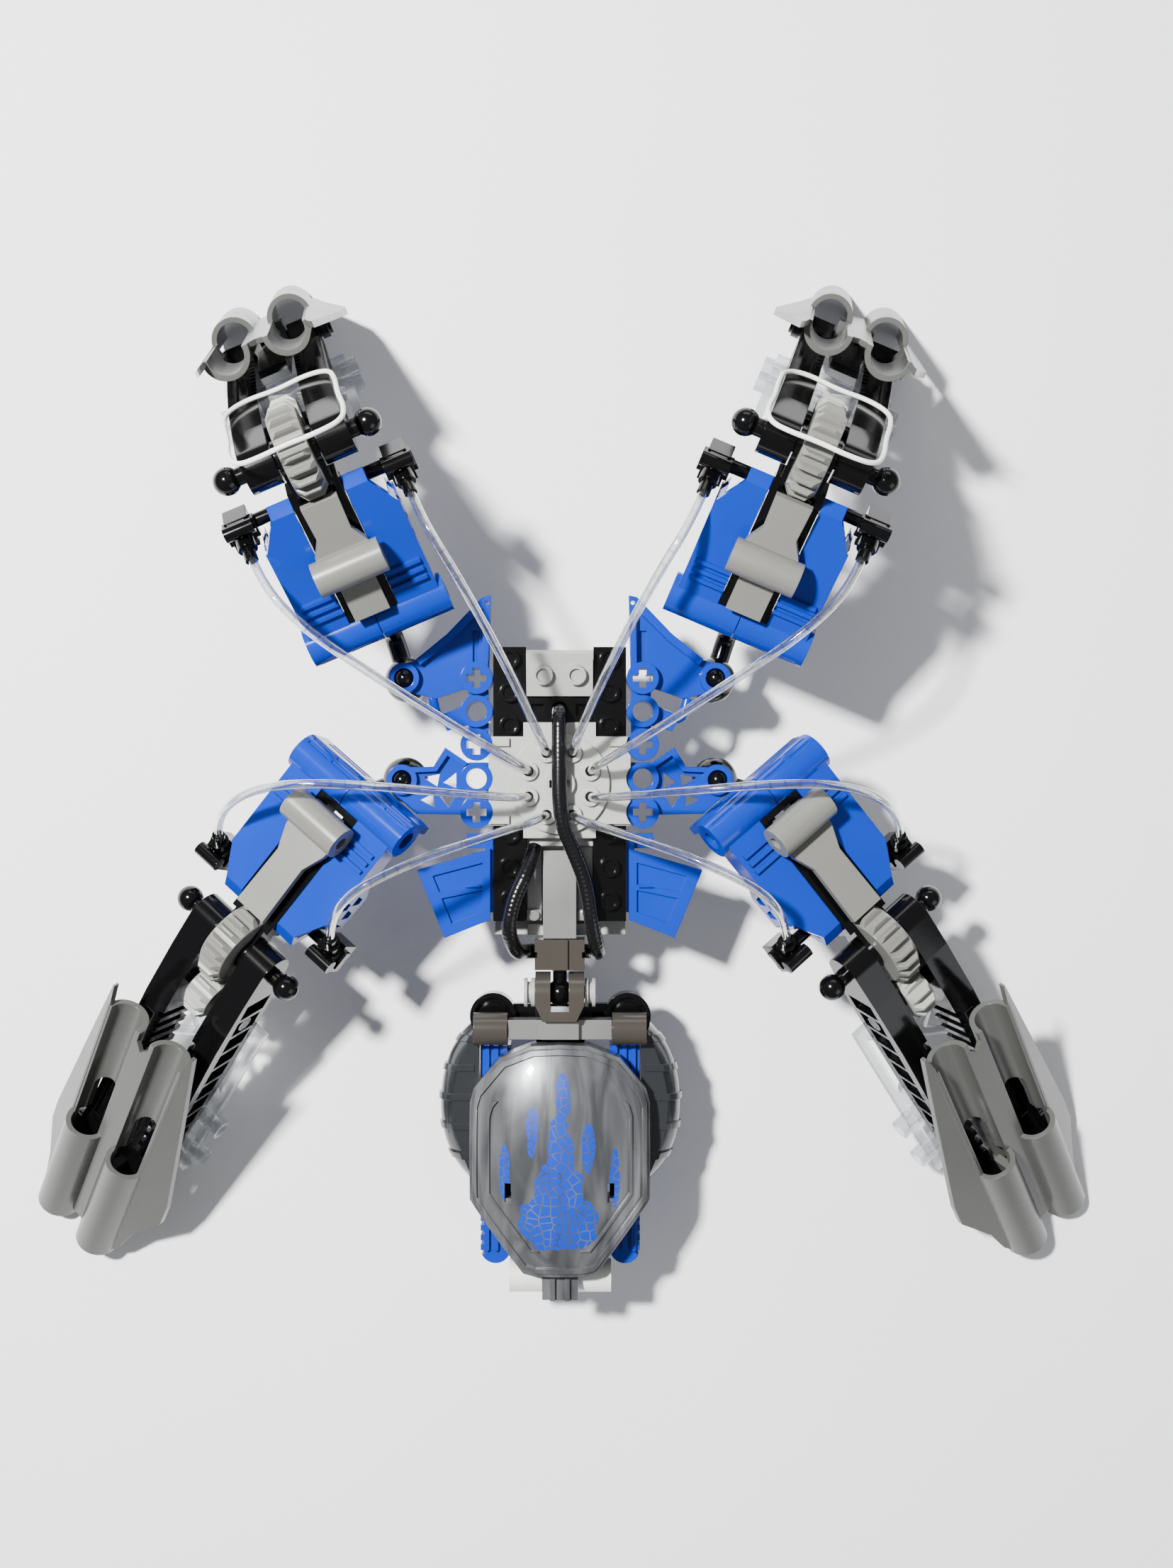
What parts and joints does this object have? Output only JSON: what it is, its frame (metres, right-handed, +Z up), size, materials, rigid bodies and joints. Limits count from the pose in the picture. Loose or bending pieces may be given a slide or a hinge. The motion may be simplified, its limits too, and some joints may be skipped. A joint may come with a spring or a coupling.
{
  "type": "four-limbed articulated robot figure",
  "caption": "Posable kit robot: four limbs with geared knees and shovel feet, and a head with a hinged face plate, on a studded body.",
  "frame": {"origin": "middle of the footprint, on the surface that the feet stand on", "axes": "+X to the robot's side across the limbs, +Y towards the rear limbs, the head towards -Y, +Z up"},
  "size_m": [0.2716, 0.2552, 0.096],
  "materials": {
    "blue": "gloss",
    "light_grey": "satin gloss",
    "black": "gloss",
    "dark_grey": "gloss",
    "silver": "pearl",
    "smoke": "pearl, slightly clear",
    "white": "gloss",
    "band_white": "matte",
    "clear": "clear",
    "hose_clear": "clear flexible",
    "hose_black": "ribbed"
  },
  "bodies": {
    "chassis": {"deck_columns": "black", "belly_plate": "light_grey", "hub_plate": "light_grey", "rear_brick": "black", "rear_bracket": "light_grey", "rear_shoulders": "blue", "front_shoulders": "blue", "fenders": "blue", "ball_pins": "black", "neck_beam": "silver", "neck_block": "dark_grey", "neck_hose": "hose_black", "rear_left_hoses": "hose_clear", "rear_right_hoses": "hose_clear", "front_left_hoses": "hose_clear", "front_right_hoses": "hose_clear"},
    "head": {"head_yoke": "dark_grey", "yoke_discs": "light_grey", "cross_bar": "silver", "side_shells": "dark_grey", "blue_pads": "blue", "head_core": "black", "white_tubes": "white"},
    "face": {"face_plate": "smoke"},
    "rear_left_thigh": {"rear_left_frame": "black", "rear_left_covers": "blue", "rear_left_shield_gear": "light_grey", "rear_left_ports": "black"},
    "rear_left_shin": {"rear_left_shins": "black", "rear_left_strut": "clear", "rear_left_band": "band_white"},
    "rear_left_pinion": {"rear_left_pinion": "light_grey"},
    "rear_left_foot": {"rear_left_foot": "light_grey"},
    "rear_right_thigh": {"rear_right_frame": "black", "rear_right_covers": "blue", "rear_right_shield_gear": "light_grey", "rear_right_ports": "black"},
    "rear_right_shin": {"rear_right_shins": "black", "rear_right_strut": "clear", "rear_right_band": "band_white"},
    "rear_right_pinion": {"rear_right_pinion": "light_grey"},
    "rear_right_foot": {"rear_right_foot": "light_grey"},
    "front_left_thigh": {"front_left_frame": "black", "front_left_covers": "blue", "front_left_shield_gear": "light_grey", "front_left_ports": "black"},
    "front_left_shin": {"front_left_shins": "black", "front_left_strut": "clear"},
    "front_left_pinion": {"front_left_pinion": "light_grey"},
    "front_left_foot": {"front_left_foot": "light_grey"},
    "front_right_thigh": {"front_right_frame": "black", "front_right_covers": "blue", "front_right_shield_gear": "light_grey", "front_right_ports": "black"},
    "front_right_shin": {"front_right_shins": "black", "front_right_strut": "clear"},
    "front_right_pinion": {"front_right_pinion": "light_grey"},
    "front_right_foot": {"front_right_foot": "light_grey"}
  },
  "joints": [
    {"name": "neck_pitch", "type": "hinge", "parent": "chassis", "child": "head", "pos_m": [0, -0.05278, 0.03375], "axis": [1, 0, 0], "range_deg": [-18, 18]},
    {"name": "face_tilt", "type": "hinge", "parent": "head", "child": "face", "pos_m": [0, -0.12348, 0.02575], "axis": [1, 0, 0], "range_deg": [0, 40]},
    {"name": "rear_left_shoulder", "type": "hinge", "parent": "chassis", "child": "rear_left_thigh", "pos_m": [-0.0375, 0.02321, 0.02715], "axis": [0, 0, 1], "range_deg": [-14, 14], "deforming": ["rear_left_hoses"]},
    {"name": "rear_left_knee", "type": "hinge", "parent": "rear_left_thigh", "child": "rear_left_shin", "pos_m": [-0.05582, 0.06923, 0.0812], "axis": [0.9205, 0.3907, 0], "range_deg": [-6, 45]},
    {"name": "rear_left_pinion_spin", "type": "hinge", "parent": "rear_left_shin", "child": "rear_left_pinion", "pos_m": [-0.05931, 0.07743, 0.06792], "axis": [0.9205, 0.3907, 0], "range_deg": [-10.5, 75.5]},
    {"name": "rear_left_foot_tilt", "type": "hinge", "parent": "rear_left_shin", "child": "rear_left_foot", "pos_m": [-0.07194, 0.10719, 0.01976], "axis": [0.9205, 0.3907, 0], "range_deg": [-8, 4]},
    {"name": "rear_right_shoulder", "type": "hinge", "parent": "chassis", "child": "rear_right_thigh", "pos_m": [0.0375, 0.02321, 0.02715], "axis": [0, 0, -1], "range_deg": [-14, 14], "deforming": ["rear_right_hoses"]},
    {"name": "rear_right_knee", "type": "hinge", "parent": "rear_right_thigh", "child": "rear_right_shin", "pos_m": [0.05582, 0.06923, 0.0812], "axis": [0.9205, -0.3907, 0], "range_deg": [-6, 45]},
    {"name": "rear_right_pinion_spin", "type": "hinge", "parent": "rear_right_shin", "child": "rear_right_pinion", "pos_m": [0.05931, 0.07743, 0.06792], "axis": [0.9205, -0.3907, 0], "range_deg": [-10.5, 75.5]},
    {"name": "rear_right_foot_tilt", "type": "hinge", "parent": "rear_right_shin", "child": "rear_right_foot", "pos_m": [0.07194, 0.10719, 0.01976], "axis": [0.9205, -0.3907, 0], "range_deg": [-8, 4]},
    {"name": "front_left_shoulder", "type": "hinge", "parent": "chassis", "child": "front_left_thigh", "pos_m": [-0.038, -0.00128, 0.02715], "axis": [0, 0, 1], "range_deg": [-12, 14], "deforming": ["front_left_hoses"]},
    {"name": "front_left_knee", "type": "hinge", "parent": "front_left_thigh", "child": "front_left_shin", "pos_m": [-0.07624, -0.03988, 0.04297], "axis": [-0.7399, 0.6209, -0.2588], "range_deg": [-60, 12]},
    {"name": "front_left_pinion_spin", "type": "hinge", "parent": "front_left_shin", "child": "front_left_pinion", "pos_m": [-0.08426, -0.05213, 0.03651], "axis": [-0.7399, 0.6209, -0.2588], "range_deg": [-100.5, 20.5]},
    {"name": "front_left_foot_tilt", "type": "hinge", "parent": "front_left_shin", "child": "front_left_foot", "pos_m": [-0.11334, -0.09653, 0.01313], "axis": [-0.7399, 0.6209, -0.2588], "range_deg": [-8, 4]},
    {"name": "front_right_shoulder", "type": "hinge", "parent": "chassis", "child": "front_right_thigh", "pos_m": [0.038, -0.00128, 0.02715], "axis": [0, 0, -1], "range_deg": [-12, 14], "deforming": ["front_right_hoses"]},
    {"name": "front_right_knee", "type": "hinge", "parent": "front_right_thigh", "child": "front_right_shin", "pos_m": [0.07624, -0.03988, 0.04297], "axis": [-0.7399, -0.6209, 0.2588], "range_deg": [-60, 12]},
    {"name": "front_right_pinion_spin", "type": "hinge", "parent": "front_right_shin", "child": "front_right_pinion", "pos_m": [0.08426, -0.05213, 0.03651], "axis": [-0.7399, -0.6209, 0.2588], "range_deg": [-100.5, 20.5]},
    {"name": "front_right_foot_tilt", "type": "hinge", "parent": "front_right_shin", "child": "front_right_foot", "pos_m": [0.11334, -0.09653, 0.01313], "axis": [-0.7399, -0.6209, 0.2588], "range_deg": [-8, 4]}
  ],
  "couplings": [
    {"joint": "rear_left_pinion_spin", "follows": "rear_left_knee", "ratio": 1.6667},
    {"joint": "rear_right_pinion_spin", "follows": "rear_right_knee", "ratio": 1.6667},
    {"joint": "front_left_pinion_spin", "follows": "front_left_knee", "ratio": 1.6667},
    {"joint": "front_right_pinion_spin", "follows": "front_right_knee", "ratio": 1.6667}
  ]
}
